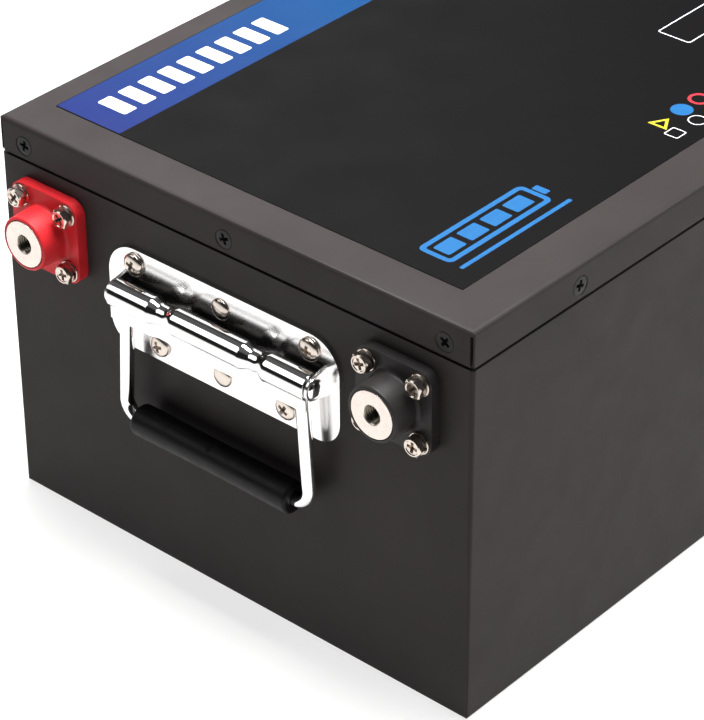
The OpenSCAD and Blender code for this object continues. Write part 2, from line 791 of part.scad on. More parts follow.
// Positive cable: from the red post's stud to the first cell's upper post.
module cable_positive() {
    lug_y = -wall_in + washer_t + lug_t;
    x1 = cell_x1 + 3 + lug_t + cable_r - crimp;
    y0 = lug_y + cable_r - crimp;
    y1 = cell_y(1) + cell_t / 2;
    z1 = cell_mid_z + cell_post_z;
    color([0.75, 0.1, 0.1]) {
        translate([post_at(-1), 0, post_z]) ring_lug_y(lug_y, post_stud_r + 0.1);
        route([[post_at(-1), y0, post_z - 18], [post_at(-1), y0, post_z - 30], [post_at(-1) + 7, -164, 102],
            [-60, -156, 158], [40, -151, 162], [x1, -136, z1], [x1, y1 - 12, z1]], cable_r);
        translate([cell_x1 + 3, y1, z1]) rotate([0, 0, 90]) rotate([0, -90, 0]) ring_lug_y(0, 3.2);
    }
}

// Negative cables: from the last cell to the board, and from the board to the black post.
module cable_negative() {
    lug_y = -wall_in + washer_t + lug_t;
    x1 = cell_x1 + 3 + lug_t + cable_r - crimp;
    y0 = lug_y + cable_r - crimp;
    y4 = cell_y(4) + cell_t / 2;
    z4 = cell_mid_z + cell_post_z;
    face = board_y - board_t;
    color([0.1, 0.1, 0.1]) {
        translate([post_at(1), 0, post_z]) ring_lug_y(lug_y, post_stud_r + 0.1);
        route([[post_at(1), y0, post_z - 18], [post_at(1), y0, post_z - 30], [post_at(1) - 4, -164, 82],
            [60, -151, 50], [40, -144, 38], [40, face, 38]], cable_r);
        route([[x1, y4 - 12, z4], [x1, y4 - 30, z4], [x1, y4 - 60, 104], [x1 + 2, -96, 96],
            [x1 - 4, -144, 90], [70, -150, 86], [70, face, 86]], cable_r);
        translate([cell_x1 + 3, y4, z4]) rotate([0, 0, 90]) rotate([0, -90, 0]) ring_lug_y(0, 3.2);
    }
}

// Thin sense wires from the board to the busbars.
module sense_harness() {
    y = board_y - board_t;
    color([0.9, 0.9, 0.85]) for (i = [0 : 3]) {
        z = 20 + i * 4;
        route([[50, y - 6, 36 + i * 3], [96, y - 12, z], [cell_x1 + 27, y + 10, z],
               [cell_x1 + 27, cell_y(i + 1) + 20, z]], 1);
    }
}

module temperature_sensor() {
    x = cell_x0 + 90;
    y = cell_y(1) + 36;
    z = cell_z0 + cell_w + strap_t - 0.4;
    color([0.1, 0.1, 0.1]) translate([x, y, z - 0.1]) cube([6, 12, 0.4]);
}

case_tub();
lid();
lid_gasket();
lid_screws("front");  // lid_screws_front
lid_screws("back");  // lid_screws_back
lid_screws("left");  // lid_screws_left
lid_screws("right");  // lid_screws_right
lid_nuts();
label_film();
color(red) insulator(-1);  // insulator_positive
color(rubber) insulator(1);  // insulator_negative
post(-1);  // post_positive
post(1);  // post_negative
terminal_screws();
terminal_spring_washers();
terminal_flat_washers();
terminal_nuts();
post_inner_washers();
post_inner_nuts();
handle_plate(-1);  // handle_plate_front
hinge_pin(-1);  // hinge_pin_front
hinge_springs(-1);  // hinge_springs_front
hinge_leaf(-1);  // hinge_leaf_front
bail_rod(-1);  // bail_rod_front
grip(-1);  // grip_front
handle_screws(-1);  // handle_screws_front
handle_rivets(-1);  // handle_rivets_front
handle_backing(-1);  // handle_backing_front
handle_plate(1);  // handle_plate_back
hinge_pin(1);  // hinge_pin_back
hinge_springs(1);  // hinge_springs_back
hinge_leaf(1);  // hinge_leaf_back
bail_rod(1);  // bail_rod_back
grip(1);  // grip_back
handle_screws(1);  // handle_screws_back
handle_rivets(1);  // handle_rivets_back
handle_backing(1);  // handle_backing_back
handle_nuts();
base_pad();
top_pad();
side_pads();
cell(1);  // cell_1
cell(2);  // cell_2
cell(3);  // cell_3
cell(4);  // cell_4
cell_cards();
cell_posts();
busbars();
busbar_nuts();
busbar_cover();
end_plates();
straps();
bms_board();
bms_components();
bms_standoffs();
cable_positive();
cable_negative();
sense_harness();
temperature_sensor();
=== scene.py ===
"""Looks of a steel-cased battery pack: camera, light, materials and detailed pieces over the CAD."""

import json
import math

import bmesh
import bpy
from mathutils import Matrix, Vector


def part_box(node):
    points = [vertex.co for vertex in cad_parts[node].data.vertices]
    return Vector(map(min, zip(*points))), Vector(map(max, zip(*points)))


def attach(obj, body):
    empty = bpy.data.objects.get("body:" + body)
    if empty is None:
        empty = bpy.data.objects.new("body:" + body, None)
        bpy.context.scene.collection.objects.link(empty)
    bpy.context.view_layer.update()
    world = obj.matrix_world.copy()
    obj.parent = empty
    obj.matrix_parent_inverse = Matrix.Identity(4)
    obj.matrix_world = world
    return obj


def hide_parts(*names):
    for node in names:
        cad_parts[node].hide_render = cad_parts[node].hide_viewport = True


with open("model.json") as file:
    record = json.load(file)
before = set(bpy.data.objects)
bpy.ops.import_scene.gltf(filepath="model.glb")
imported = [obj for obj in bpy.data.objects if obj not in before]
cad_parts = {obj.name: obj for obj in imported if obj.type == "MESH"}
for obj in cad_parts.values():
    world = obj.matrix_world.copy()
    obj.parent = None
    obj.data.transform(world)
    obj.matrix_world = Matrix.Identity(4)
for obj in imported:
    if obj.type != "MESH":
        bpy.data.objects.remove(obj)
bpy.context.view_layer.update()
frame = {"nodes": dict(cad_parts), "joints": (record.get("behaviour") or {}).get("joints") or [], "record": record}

MM = 0.001
nodes = frame["nodes"]
record = frame["record"]
scene = bpy.context.scene
scene.view_settings.view_transform = "Standard"
scene.view_settings.look = "None"

# ---- places and sizes taken from the frame ---------------------------------------------------

tub_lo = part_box("case_tub")[0]
lid_lo, lid_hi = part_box("lid")
film_lo, film_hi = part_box("label_film")
plate_lo, plate_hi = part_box("handle_plate_front")
leaf_lo, leaf_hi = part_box("hinge_leaf_front")
bail_lo, bail_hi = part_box("bail_rod_front")
grip_lo, grip_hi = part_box("grip_front")
WALL_Y = tub_lo.y
hinge = next(j for j in frame["joints"] if j["name"] == "bail_front_hinge")
PIN = Vector(hinge["pos_m"])


def centre(node):
    """Middle of a CAD node's box."""
    lo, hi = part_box(node)
    return (lo + hi) / 2


def middles(node):
    """Middles of the separate solids of a CAD node, from the lowest x up."""
    bm = bmesh.new()
    bm.from_mesh(nodes[node].data)
    bmesh.ops.remove_doubles(bm, verts=bm.verts, dist=1e-6)
    left = set(bm.verts)
    found = []
    while left:
        stack = [left.pop()]
        group = list(stack)
        while stack:
            for e in stack.pop().link_edges:
                for v in e.verts:
                    if v in left:
                        left.remove(v)
                        stack.append(v)
                        group.append(v)
        lo = Vector([min(v.co[i] for v in group) for i in range(3)])
        hi = Vector([max(v.co[i] for v in group) for i in range(3)])
        found.append((tuple(lo), (lo + hi) / 2))
    bm.free()
    return [middle for _, middle in sorted(found, key=lambda pair: pair[0])]


# ---- camera, light and floor -----------------------------------------------------------------

def make_camera():
    """A long lens at the front right, above the lid."""
    lens, aside, from_wall, height = 155.3, 0.7216, 0.7413, 0.8022
    azimuth, elevation, roll = math.radians(41.48), math.radians(33.54), math.radians(-0.37)
    back = Vector((math.sin(azimuth) * math.cos(elevation), -math.cos(azimuth) * math.cos(elevation),
                   math.sin(elevation)))
    right = Vector((math.cos(azimuth), math.sin(azimuth), 0))
    up = back.cross(right)
    right, up = (right * math.cos(roll) + up * math.sin(roll),
                 up * math.cos(roll) - right * math.sin(roll))
    data = bpy.data.cameras.new("camera")
    data.sensor_width = 36
    data.lens = lens
    data.clip_start = 0.05
    data.clip_end = 60
    cam = bpy.data.objects.new("camera", data)
    place = Matrix((right, up, back)).transposed().to_4x4()
    place.translation = Vector((aside, WALL_Y - from_wall, height))
    cam.matrix_world = place
    scene.collection.objects.link(cam)
    scene.camera = cam


def area_light(name, place, aim, width, height, watts):
    """A soft box at a place, turned towards a point."""
    data = bpy.data.lights.new(name, "AREA")
    data.shape = "RECTANGLE"
    data.size = width
    data.size_y = height
    data.energy = watts
    light = bpy.data.objects.new(name, data)
    light.location = place
    light.rotation_euler = (Vector(aim) - Vector(place)).to_track_quat("-Z", "Y").to_euler()
    scene.collection.objects.link(light)


def make_world():
    """A studio: white below the horizon, dark above it and dim grey overhead."""
    world = bpy.data.worlds.new("studio")
    world.use_nodes = True
    scene.world = world
    tree = world.node_tree
    tree.nodes.clear()
    coords = tree.nodes.new("ShaderNodeTexCoord")
    split = tree.nodes.new("ShaderNodeSeparateXYZ")
    ramp = tree.nodes.new("ShaderNodeValToRGB")
    sky = tree.nodes.new("ShaderNodeBackground")
    out = tree.nodes.new("ShaderNodeOutputWorld")
    tree.links.new(coords.outputs["Generated"], split.inputs[0])
    half = tree.nodes.new("ShaderNodeMath")
    half.operation = "MULTIPLY_ADD"
    half.inputs[1].default_value = 0.5
    half.inputs[2].default_value = 0.5
    tree.links.new(split.outputs["Z"], half.inputs[0])
    tree.links.new(half.outputs[0], ramp.inputs[0])
    tree.links.new(ramp.outputs[0], sky.inputs["Color"])
    tree.links.new(sky.outputs[0], out.inputs[0])
    stops = [(0.0, 0.9), (0.49, 0.9), (0.51, 0.08), (0.56, 0.012), (0.84, 0.014), (0.88, 0.10),
             (1.0, 0.12)]
    ramp.color_ramp.elements[0].position = stops[0][0]
    ramp.color_ramp.elements[1].position = stops[-1][0]
    for position, _ in stops[1:-1]:
        ramp.color_ramp.elements.new(position)
    for element, (_, grey) in zip(ramp.color_ramp.elements, stops):
        element.color = (grey, grey, grey, 1)
    sky.inputs["Strength"].default_value = 1.0


def make_floor():
    """A floor that looks nearly white by its own glow, so that shadows on it stay faint."""
    bpy.ops.mesh.primitive_plane_add(size=14, location=(0, 0, 0))
    floor = bpy.context.object
    floor.name = "floor"
    mat = bpy.data.materials.new("pale_floor")
    mat.use_nodes = True
    shader = mat.node_tree.nodes["Principled BSDF"]
    shader.inputs["Base Color"].default_value = (0.3, 0.292, 0.286, 1)
    shader.inputs["Roughness"].default_value = 0.9
    shader.inputs["Specular IOR Level"].default_value = 0.1
    shader.inputs["Emission Color"].default_value = (1, 1, 1, 1)
    shader.inputs["Emission Strength"].default_value = 0.74
    floor.data.materials.append(mat)


make_camera()
make_world()
make_floor()
area_light("top_box", (0.0, 0.1, 1.75), (0, -0.05, 0.15), 1.1, 0.8, 84)
area_light("back_box", (0.9, 1.5, 1.1), (0, 0.05, 0.1), 0.9, 0.6, 30)
area_light("left_back_box", (-1.05, 0.66, 0.98), (0, -0.2, 0.13), 0.9, 0.72, 7)
area_light("left_front_box", (-0.88, -1.06, 1.15), (0, -0.2, 0.13), 0.8, 0.8, 3.6)
area_light("right_box", (2.0, 0.2, 0.9), (0.1, 0, 0.1), 0.6, 0.9, 0.8)

# ---- materials -------------------------------------------------------------------------------


class Look:
    """Builds one procedural material: colour mottling, roughness variation and fine bump."""

    def __init__(self, name, colour, roughness, metallic=0.0, specular=0.5):
        self.mat = bpy.data.materials.new(name)
        self.mat.use_nodes = True
        self.tree = self.mat.node_tree
        self.shader = self.tree.nodes["Principled BSDF"]
        self.shader.inputs["Base Color"].default_value = (*colour, 1)
        self.shader.inputs["Roughness"].default_value = roughness
        self.shader.inputs["Metallic"].default_value = metallic
        self.shader.inputs["Specular IOR Level"].default_value = specular
        self.colour = colour
        self.roughness = roughness
        self.normal = None
        self.coords = self.tree.nodes.new("ShaderNodeTexCoord").outputs["Object"]

    def noise(self, size, detail=3.0, stretch=(1, 1, 1)):
        """Noise whose features are about size metres across."""
        mapping = self.tree.nodes.new("ShaderNodeMapping")
        mapping.inputs["Scale"].default_value = stretch
        self.tree.links.new(self.coords, mapping.inputs[0])
        node = self.tree.nodes.new("ShaderNodeTexNoise")
        node.inputs["Scale"].default_value = 1 / size
        node.inputs["Detail"].default_value = detail
        self.tree.links.new(mapping.outputs[0], node.inputs["Vector"])
        return node.outputs["Fac"]

    def ramp(self, value, low, high, start=0.3, end=0.7):
        """Maps a value from start..end to low..high."""
        node = self.tree.nodes.new("ShaderNodeMapRange")
        node.inputs["From Min"].default_value = start
        node.inputs["From Max"].default_value = end
        node.inputs["To Min"].default_value = low
        node.inputs["To Max"].default_value = high
        self.tree.links.new(value, node.inputs["Value"])
        return node.outputs["Result"]

    def blend(self, factor, first, second):
        """Goes from the first colour to the second as factor goes from 0 to 1."""
        mix = self.tree.nodes.new("ShaderNodeMix")
        mix.data_type = "RGBA"
        mix.inputs["A"].default_value = (*first, 1)
        mix.inputs["B"].default_value = (*second, 1)
        self.tree.links.new(factor, mix.inputs["Factor"])
        self.tree.links.new(mix.outputs["Result"], self.shader.inputs["Base Color"])
        return self

    def mottle(self, size, amount, other=None, stretch=(1, 1, 1)):
        """Varies the colour between a darker one and a lighter or other colour."""
        darker = [c * (1 - amount) for c in self.colour]
        lighter = [min(1, c * (1 + amount)) for c in self.colour]
        return self.blend(self.ramp(self.noise(size, 4.0, stretch), 0, 1), darker, other or lighter)

    def vary(self, size, amount, stretch=(1, 1, 1)):
        """Varies the roughness about its own value."""
        r = self.roughness
        value = self.ramp(self.noise(size, 3.0, stretch), max(0.02, r - amount), r + amount)
        self.tree.links.new(value, self.shader.inputs["Roughness"])
        return self

    def bump(self, size, depth, strength=1.0, detail=2.0, stretch=(1, 1, 1), height=None):
        """Adds one layer of bump, depth metres high."""
        node = self.tree.nodes.new("ShaderNodeBump")
        node.inputs["Strength"].default_value = strength
        node.inputs["Distance"].default_value = depth
        self.tree.links.new(height or self.noise(size, detail, stretch), node.inputs["Height"])
        if self.normal:
            self.tree.links.new(self.normal, node.inputs["Normal"])
        self.normal = node.outputs["Normal"]
        self.tree.links.new(self.normal, self.shader.inputs["Normal"])
        return self

    def rings(self, scale):
        """Concentric turning marks round the middle of a turned piece, whose axis is Y."""
        mapping = self.tree.nodes.new("ShaderNodeMapping")
        mapping.inputs["Location"].default_value = (-0.5, -0.5, -0.5)
        coords = self.tree.nodes.new("ShaderNodeTexCoord").outputs["Generated"]
        self.tree.links.new(coords, mapping.inputs[0])
        wave = self.tree.nodes.new("ShaderNodeTexWave")
        wave.wave_type = "RINGS"
        wave.rings_direction = "Y"
        wave.inputs["Scale"].default_value = scale
        wave.inputs["Distortion"].default_value = 1.5
        wave.inputs["Detail"].default_value = 2
        self.tree.links.new(mapping.outputs[0], wave.inputs["Vector"])
        return wave.outputs["Fac"]


def powder_coat():
    look = Look("powder_coat", (0.0265, 0.0222, 0.0218), 0.46, specular=0.09)
    look.mottle(0.05, 0.12).vary(0.012, 0.04)
    return look.bump(0.0011, 0.00005, 0.6, 3.0).bump(0.0004, 0.00003, 0.6).mat


def black_oxide():
    look = Look("black_oxide", (0.012, 0.0115, 0.0112), 0.42, specular=0.18)
    return look.mottle(0.004, 0.4).vary(0.002, 0.08).mat


def label_print():
    look = Look("label_print", (0.0031, 0.0028, 0.0031), 0.5, specular=0.035)
    return look.mottle(0.08, 0.04).vary(0.03, 0.05).bump(0.0009, 0.000006, 0.3).mat


def stripe_print():
    """Blue printed band, deeper at the terminal end."""
    deep, light, fade = (0.0085, 0.0175, 0.102), (0.003, 0.038, 0.123), 0.14
    look = Look("stripe_print", deep, 0.5, specular=0.06)
    split = look.tree.nodes.new("ShaderNodeSeparateXYZ")
    look.tree.links.new(look.coords, split.inputs[0])
    along = look.ramp(split.outputs["Y"], 0, 1, film_lo.y, film_lo.y + fade)
    return look.blend(along, deep, light).vary(0.03, 0.05).bump(0.0009, 0.000006, 0.3).mat


def print_ink(name, colour):
    return Look(name, colour, 0.5, specular=0.15).mottle(0.01, 0.05).vary(0.004, 0.06).mat


def moulded(name, colour):
    look = Look(name, colour, 0.46, specular=0.22).mottle(0.01, 0.08).vary(0.003, 0.06)
    return look.bump(0.0005, 0.00001, 0.35).bump(0.006, 0.00003, 0.2).mat


CHROME = (0.86, 0.855, 0.85)


def chrome(name, roughness):
    look = Look(name, CHROME, roughness, metallic=1.0)
    return look.vary(0.006, 0.02).bump(0.02, 0.00003, 0.1, 1.0).bump(0.0015, 0.000002, 0.1)


def chrome_with_painted_shade():
    """Bright chrome of the rolled leaf, with painted shade on the side that faces the wall: its colour goes dark
    there.
    """
    look = chrome("leaf_chrome", 0.07)
    split = look.tree.nodes.new("ShaderNodeSeparateXYZ")
    look.tree.links.new(look.coords, split.inputs[0])
    reach = look.tree.nodes.new("ShaderNodeMath")
    reach.operation = "ABSOLUTE"
    look.tree.links.new(split.outputs["Y"], reach.inputs[0])
    outside_painted_shade = look.ramp(reach.outputs[0], 0, 1, abs(PIN.y) - 2.2 * MM, abs(PIN.y) - 1.0 * MM)
    # Painted shade: the colour goes near black where the leaf lies more than about 1 mm behind the pin, towards
    # the wall.
    return look.blend(outside_painted_shade, (0.035, 0.033, 0.032), CHROME).mat


def nickel():
    look = Look("nickel", (0.64, 0.57, 0.51), 0.23, metallic=1.0)
    return look.mottle(0.002, 0.06).vary(0.003, 0.03).bump(0.003, 0.000003, 0.08).mat


def turned_nickel():
    look = Look("turned_nickel", (0.70, 0.625, 0.575), 0.3, metallic=1.0)
    look.mottle(0.003, 0.05).vary(0.0015, 0.05)
    return look.bump(0, 0.000012, 0.35, height=look.rings(22)).mat


def thread_with_painted_shade():
    """Thread inside a post, with painted shade: its colour is kept dark because little light gets in."""
    # Painted shade: a dark brown metal stands in for the shade deep in the hole.
    look = Look("thread_with_painted_shade", (0.17, 0.15, 0.12), 0.32, metallic=1.0)
    return look.mottle(0.001, 0.2).vary(0.001, 0.1).bump(0.0006, 0.00001, 0.4).mat


def rubber():
    look = Look("grip_rubber", (0.0045, 0.0043, 0.0043), 0.42, specular=0.16).mottle(0.01, 0.2)
    return look.vary(0.004, 0.07).bump(0.0007, 0.00002, 0.3).bump(0.01, 0.0001, 0.15).mat


def plated(name, colour, roughness=0.3):
    look = Look(name, colour, roughness, metallic=1.0)
    return look.mottle(0.006, 0.1).vary(0.002, 0.1).bump(0.001, 0.00001, 0.3, stretch=(1, 1, 5)).mat


def foam():
    look = Look("foam", (0.03, 0.03, 0.033), 0.9, specular=0.1)
    return look.mottle(0.001, 0.4).bump(0.0008, 0.0001, 0.6).mat


def shrink_film():
    look = Look("shrink_film", (0.03, 0.10, 0.36), 0.25)
    return look.mottle(0.05, 0.1).vary(0.01, 0.06).bump(0.02, 0.0002, 0.3).bump(0.002, 0.00002, 0.2).mat


def glass_epoxy():
    look = Look("glass_epoxy", (0.42, 0.44, 0.2), 0.45)
    return look.mottle(0.002, 0.15, stretch=(1, 4, 1)).bump(0.001, 0.00002, 0.4).mat


def circuit_mask():
    look = Look("circuit_mask", (0.01, 0.10, 0.035), 0.3)
    return look.mottle(0.004, 0.25, (0.02, 0.17, 0.06)).bump(0.001, 0.00002, 0.4).mat


def cable_jacket(name, colour):
    look = Look(name, colour, 0.5, specular=0.4)
    return look.mottle(0.01, 0.1).vary(0.005, 0.05).bump(0.002, 0.00003, 0.3).mat


LOOKS = {
    "powder_coat": powder_coat(),
    "black_screw": black_oxide(),
    "foam": foam(),
    "zinc_steel": plated("zinc_steel", (0.62, 0.62, 0.6)),
    "label": label_print(),
    "red_plastic": moulded("red_moulding", (0.56, 0.018, 0.024)),
    "black_plastic": moulded("black_moulding", (0.018, 0.0165, 0.016)),
    "nickel": nickel(),
    "chrome": chrome("bright_chrome", 0.07).mat,
    "spring_steel": plated("spring_steel", (0.35, 0.35, 0.36), 0.35),
    "rubber": rubber(),
    "cell_wrap": shrink_film(),
    "card": glass_epoxy(),
    "aluminium": plated("milled_aluminium", (0.78, 0.79, 0.8), 0.35),
    "copper": plated("bare_copper", (0.80, 0.42, 0.28), 0.3),
    "circuit_board": circuit_mask(),
    "brass": plated("turned_brass", (0.78, 0.62, 0.3), 0.25),
    "red_cable": cable_jacket("red_jacket", (0.42, 0.012, 0.012)),
    "black_cable": cable_jacket("black_jacket", (0.015, 0.015, 0.015)),
    "sense_wire": cable_jacket("wire_jacket", (0.65, 0.65, 0.6)),
}
TURNED_NICKEL = turned_nickel()
THREAD_WITH_PAINTED_SHADE = thread_with_painted_shade()
SATIN_CHROME = chrome("satin_chrome", 0.2).mat
LEAF_CHROME = chrome_with_painted_shade()
STRIPE = stripe_print()
WHITE_INK = print_ink("white_ink", (0.62, 0.64, 0.66))
BLUE_INK = print_ink("blue_ink", (0.006, 0.085, 0.23))
YELLOW_INK = print_ink("yellow_ink", (0.42, 0.36, 0.02))
RED_INK = print_ink("red_ink", (0.36, 0.02, 0.03))

# ---- mesh helpers ----------------------------------------------------------------------------


def add_piece(name, mesh, body, slot, material=None, stands_for=(), sharp=35):
    """Puts a finished mesh in the scene as a piece that rides on a body."""
    mesh.update()
    for poly in mesh.polygons:
        poly.use_smooth = True
    mesh.set_sharp_from_angle(angle=math.radians(sharp))
    mesh = with_modifiers(mesh, ("WEIGHTED_NORMAL", {"keep_sharp": True, "weight": 100}))
    obj = bpy.data.objects.new(name, mesh)
    scene.collection.objects.link(obj)
    mesh.materials.append(material or LOOKS[slot])
    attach(obj, body)
    if stands_for:
        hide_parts(*stands_for)
    return obj


def mesh_of(bm, name="piece"):
    """Turns a bmesh into mesh data, with its normals outward."""
    bmesh.ops.recalc_face_normals(bm, faces=bm.faces)
    mesh = bpy.data.meshes.new(name)
    bm.to_mesh(mesh)
    bm.free()
    return mesh


def with_modifiers(mesh, *modifiers):
    """Applies a few modifiers to mesh data. Each one is (type, {setting: value})."""
    obj = bpy.data.objects.new("work", mesh)
    scene.collection.objects.link(obj)
    for kind, settings in modifiers:
        mod = obj.modifiers.new(kind.lower(), kind)
        for key, value in settings.items():
            setattr(mod, key, value)
    bpy.context.view_layer.update()
    done = bpy.data.meshes.new_from_object(obj.evaluated_get(bpy.context.evaluated_depsgraph_get()))
    bpy.data.objects.remove(obj)
    return done


def boolean(mesh, cutters, operation="DIFFERENCE"):
    """Cuts mesh data with others, or joins them to it."""
    tools = []
    for cutter in cutters:
        obj = bpy.data.objects.new("cutter", cutter)
        scene.collection.objects.link(obj)
        tools.append(obj)
    steps = [("BOOLEAN", {"operation": operation, "object": t, "solver": "EXACT"}) for t in tools]
    done = with_modifiers(mesh, *steps)
    for t in tools:
        bpy.data.objects.remove(t)
    return done


def lathe(profile, steps=64, axis="Y"):
    """Turns a profile of (radius, height) points round an axis. Along Y, heights go towards -Y."""
    bm = bmesh.new()
    rings = []
    for radius, height in profile:
        if radius < 1e-9:
            rings.append([bm.verts.new((0, 0, height))])
        else:
            rings.append([bm.verts.new((radius * math.cos(a), radius * math.sin(a), height))
                          for a in (2 * math.pi * i / steps for i in range(steps))])
    for low, high in zip(rings, rings[1:]):
        for i in range(steps):
            j = (i + 1) % steps
            corners = [low[i % len(low)], low[j % len(low)], high[j % len(high)], high[i % len(high)]]
            unique = list(dict.fromkeys(corners))
            if len(unique) > 2:
                bm.faces.new(unique)
    turns = {"Z": Matrix.Identity(4), "Y": Matrix.Rotation(math.radians(90), 4, "X"),
             "X": Matrix.Rotation(math.radians(90), 4, "Y")}
    bm.transform(turns[axis])
    return bm


def polar(radius, degrees):
    """A point at a radius and an angle from the origin."""
    return radius * math.cos(math.radians(degrees)), radius * math.sin(math.radians(degrees))


def arc(cx, cy, radius, start, end, steps=6):
    """Points on an arc, from start to end in degrees."""
    turns = [polar(radius, start + (end - start) * i / steps) for i in range(steps + 1)]
    return [(cx + x, cy + y) for x, y in turns]


def rounded_outline(x0, y0, x1, y1, radii, steps=8):
    """Outline of a rectangle. The radii are those of its corners, anticlockwise from low left."""
    a, b, c, d = radii
    return (arc(x0 + a, y0 + a, a, 180, 270, steps) + arc(x1 - b, y0 + b, b, 270, 360, steps)
            + arc(x1 - c, y1 - c, c, 0, 90, steps) + arc(x0 + d, y1 - d, d, 90, 180, steps))


def slab(outline, thickness, edge=0.0, segments=2):
    """An outline in the XY plane made into a slab from z = 0 up, with rounded edges."""
    bm = bmesh.new()
    low = [bm.verts.new((x, y, 0)) for x, y in outline]
    high = [bm.verts.new((x, y, thickness)) for x, y in outline]
    bm.faces.new(reversed(low))
    bm.faces.new(high)
    n = len(outline)
    for i in range(n):
        bm.faces.new((low[i], low[(i + 1) % n], high[(i + 1) % n], high[i]))
    if edge:
        rims = [e for e in bm.edges if abs(e.verts[0].co.z - e.verts[1].co.z) < 1e-9]
        bmesh.ops.bevel(bm, geom=rims, offset=edge, segments=segments, profile=0.5, affect="EDGES")
    return bm


def ring_slab(outer, inner, thickness):
    """A flat frame between two outlines with the same number of points."""
    bm = bmesh.new()
    n = len(outer)
    loops = [[bm.verts.new((x, y, z)) for x, y in line] for line, z in
             ((outer, 0), (outer, thickness), (inner, thickness), (inner, 0))]
    for k in range(4):
        for i in range(n):
            j = (i + 1) % n
            bm.faces.new((loops[k][i], loops[k][j], loops[(k + 1) % 4][j], loops[(k + 1) % 4][i]))
    return bm


def tube(path, radius, steps=24):
    """A round tube along a list of points, closed at both ends."""
    bm = bmesh.new()
    side = None
    rings = []
    for i, p in enumerate(path):
        ahead = (path[min(i + 1, len(path) - 1)] - path[max(i - 1, 0)]).normalized()
        if side is None:
            side = ahead.orthogonal().normalized()
        side = (side - ahead * side.dot(ahead)).normalized()
        other = ahead.cross(side)
        rings.append([bm.verts.new(p + radius * (math.cos(t) * side + math.sin(t) * other))
                      for t in (2 * math.pi * k / steps for k in range(steps))])
    for low, high in zip(rings, rings[1:]):
        for k in range(steps):
            bm.faces.new((low[k], low[(k + 1) % steps], high[(k + 1) % steps], high[k]))
    bm.faces.new(rings[0])
    bm.faces.new(rings[-1])
    return bm


def joined(meshes):
    """Several meshes made into one, each as its own shell."""
    bm = bmesh.new()
    for m in meshes:
        bm.from_mesh(m)
    mesh = bpy.data.meshes.new("joined")
    bm.to_mesh(mesh)
    bm.free()
    return mesh


def copies(mesh, places, spin=None):
    """One mesh repeated at a list of places. spin gives each copy its own turn about Y."""
    out = []
    for i, place in enumerate(places):
        m = mesh.copy()
        turn = Matrix.Rotation(math.radians(spin[i % len(spin)]) if spin else 0, 4, "Y")
        m.transform(Matrix.Translation(place) @ turn)
        out.append(m)
    return joined(out)


def welded(node):
    """A CAD node's own surface, with its doubled corners joined and its flat faces whole."""
    bm = bmesh.new()
    bm.from_mesh(nodes[node].data)
    bmesh.ops.remove_doubles(bm, verts=bm.verts, dist=1e-6)
    bmesh.ops.dissolve_limit(bm, angle_limit=math.radians(0.5), verts=bm.verts, edges=bm.edges)
    return mesh_of(bm, node)


def block(lo, hi):
    """A box between two corners, for cutting."""
    bm = slab([(lo.x, lo.y), (hi.x, lo.y), (hi.x, hi.y), (lo.x, hi.y)], hi.z - lo.z)
    bm.transform(Matrix.Translation((0, 0, lo.z)))
    return mesh_of(bm)


def to_end(mesh, end):
    """Turns a piece drawn for the front end round to the far end."""
    if end == "back":
        mesh.transform(Matrix.Rotation(math.pi, 4, "Z"))
    return mesh


# ---- case and lid ----------------------------------------------------------------------------

def lid_seams():
    """Cutters that open the seam at each corner of the skirt to the width of a real fold gap."""
    inset, width, reach, top = 1.2 * MM, 1.2 * MM, 1.35 * MM, 2.4 * MM
    cutters = []
    for sx in (-1, 1):
        for sy in (-1, 1):
            x = sx * (lid_hi.x - inset)
            y = sy * lid_hi.y
            cutters.append(block(Vector((x - width / 2, y - reach, lid_lo.z - MM)),
                                 Vector((x + width / 2, y + reach, lid_hi.z - top))))
    return cutters


add_piece("case_tub_shell", welded("case_tub"), "pack", "powder_coat", None, ("case_tub",), 25)
add_piece("lid_shell", boolean(welded("lid"), lid_seams()), "pack", "powder_coat", None, ("lid",), 25)


def cross_cutter(span, depth, face):
    """Tapered cross recess that opens towards -Y at y = face."""
    half = span / 2
    arm = span * 0.15
    outline = [(half, -arm), (half, arm), (arm, arm), (arm, half), (-arm, half), (-arm, arm),
               (-half, arm), (-half, -arm), (-arm, -arm), (-arm, -half), (arm, -half), (arm, -arm)]
    bm = bmesh.new()
    levels = [(-0.3 * MM, 1.04), (0.0, 1.0), (depth * 0.55, 0.72), (depth, 0.22)]
    rings = [[bm.verts.new((x * s, face + y, z * s)) for x, z in outline] for y, s in levels]
    for low, high in zip(rings, rings[1:]):
        for i in range(12):
            bm.faces.new((low[i], low[(i + 1) % 12], high[(i + 1) % 12], high[i]))
    bm.faces.new(rings[0])
    bm.faces.new(rings[-1])
    return mesh_of(bm)


def lid_screw():
    """Countersunk screw with a cross recess, its face at y = 0 and pointing to -Y."""
    head = 4.3 * MM
    profile = [(0, 0), (head - 0.5 * MM, 0), (head - 0.15 * MM, 0.12 * MM), (head, 0.35 * MM),
               (2.5 * MM, 2.3 * MM), (2.5 * MM, 8.6 * MM), (2.1 * MM, 9 * MM), (0, 9 * MM)]
    mesh = mesh_of(lathe([(r, -h) for r, h in profile], 48))
    return boolean(mesh, [cross_cutter(4.9 * MM, 2.2 * MM, 0)])


